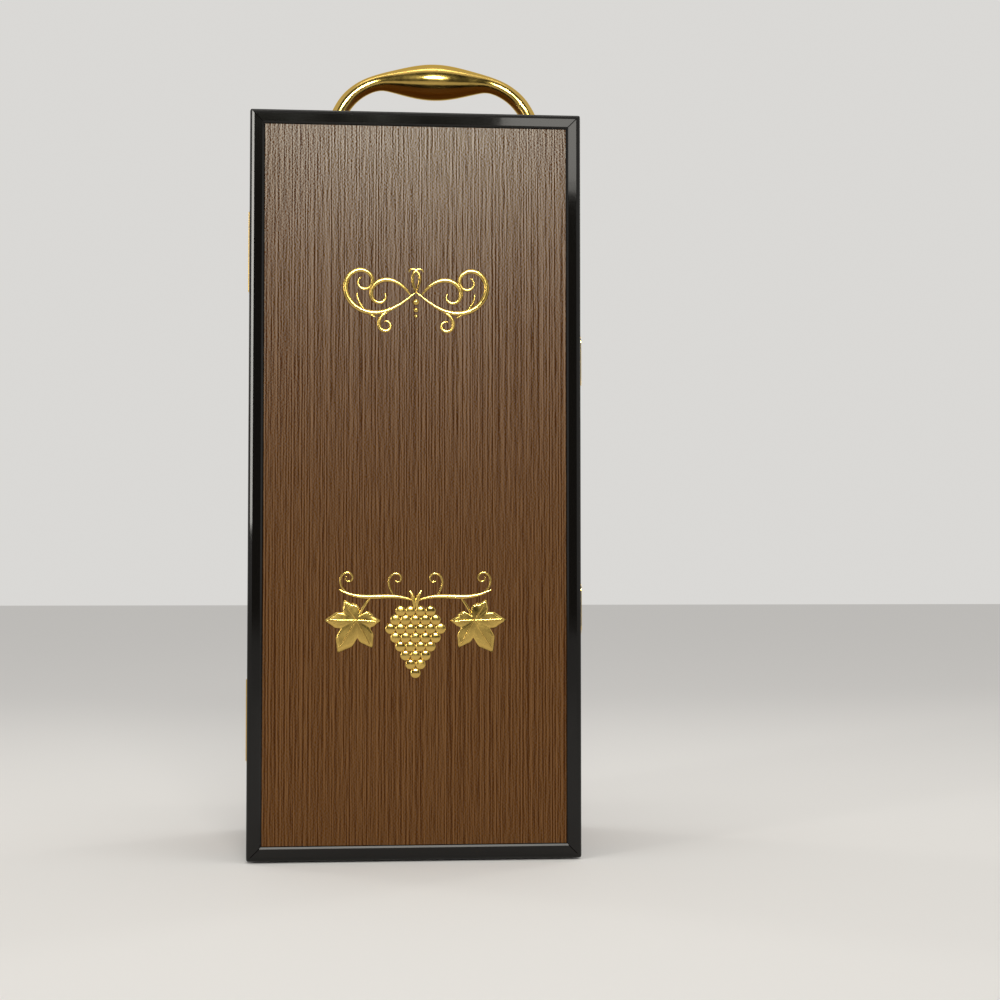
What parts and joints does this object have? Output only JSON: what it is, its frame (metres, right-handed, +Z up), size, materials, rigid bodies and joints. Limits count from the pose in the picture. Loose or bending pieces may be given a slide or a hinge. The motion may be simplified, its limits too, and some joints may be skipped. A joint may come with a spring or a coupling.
{
  "type": "wine box",
  "caption": "Upright gift box for a bottle of wine: mitred case with recessed brushed panels, side-hinged door held by hasps, shaped tray, padded lining and bow handle.",
  "frame": {"origin": "on the ground under the middle of the closed box", "axes": "+X to the right seen from the front, +Y from the front to the back, +Z up"},
  "size_m": [0.1581, 0.114, 0.3842],
  "materials": {
    "black_lacquer": "gloss",
    "brushed_laminate": "satin",
    "fibreboard": "matte",
    "beech": "matte",
    "gold_plate": "polished",
    "zinc_steel": "satin",
    "flocked_foam": "matte",
    "satin": "satin",
    "felt": "matte"
  },
  "bodies": {
    "case": {"back_board": "fibreboard", "back_facing": "brushed_laminate", "base_felt": "felt", "bottle_tray": "flocked_foam", "case_board_bottom": "black_lacquer", "case_board_left": "black_lacquer", "case_board_right": "black_lacquer", "case_board_top": "black_lacquer", "case_corner_keys": "beech", "case_facing_left": "brushed_laminate", "case_facing_right": "brushed_laminate", "case_facing_top": "brushed_laminate", "handle": "gold_plate", "handle_bolts": "zinc_steel", "handle_collars": "gold_plate", "handle_washers": "zinc_steel", "hasp_screws_case": "gold_plate", "hinge_screws_case": "gold_plate", "lower_hasp_keeper": "gold_plate", "lower_hinge_case_leaf": "gold_plate", "lower_hinge_pin": "gold_plate", "upper_hasp_keeper": "gold_plate", "upper_hinge_case_leaf": "gold_plate", "upper_hinge_pin": "gold_plate"},
    "door": {"door_moulding_bottom": "black_lacquer", "door_moulding_left": "black_lacquer", "door_moulding_top": "black_lacquer", "door_moulding_right": "black_lacquer", "door_corner_keys": "beech", "door_board": "fibreboard", "door_facing": "brushed_laminate", "door_pad": "satin", "hinge_screws_door": "gold_plate", "hasp_screws_door": "gold_plate", "upper_hinge_door_leaf": "gold_plate", "upper_hasp_plate": "gold_plate", "upper_hasp_pin": "gold_plate", "lower_hinge_door_leaf": "gold_plate", "lower_hasp_plate": "gold_plate", "lower_hasp_pin": "gold_plate"},
    "upper_clasp": {"upper_hasp": "gold_plate"},
    "lower_clasp": {"lower_hasp": "gold_plate"}
  },
  "joints": [
    {"name": "door_hinge", "type": "hinge", "parent": "case", "child": "door", "pos_m": [-0.0765, -0.0307, 0.1729], "axis": [0, 0, -1], "range_deg": [0, 170]},
    {"name": "upper_hasp_hinge", "type": "hinge", "parent": "door", "child": "upper_clasp", "pos_m": [0.0781, -0.0347, 0.2309], "axis": [0, 0, -1], "range_deg": [0, 150]},
    {"name": "lower_hasp_hinge", "type": "hinge", "parent": "door", "child": "lower_clasp", "pos_m": [0.0781, -0.0347, 0.1149], "axis": [0, 0, -1], "range_deg": [0, 150]}
  ]
}
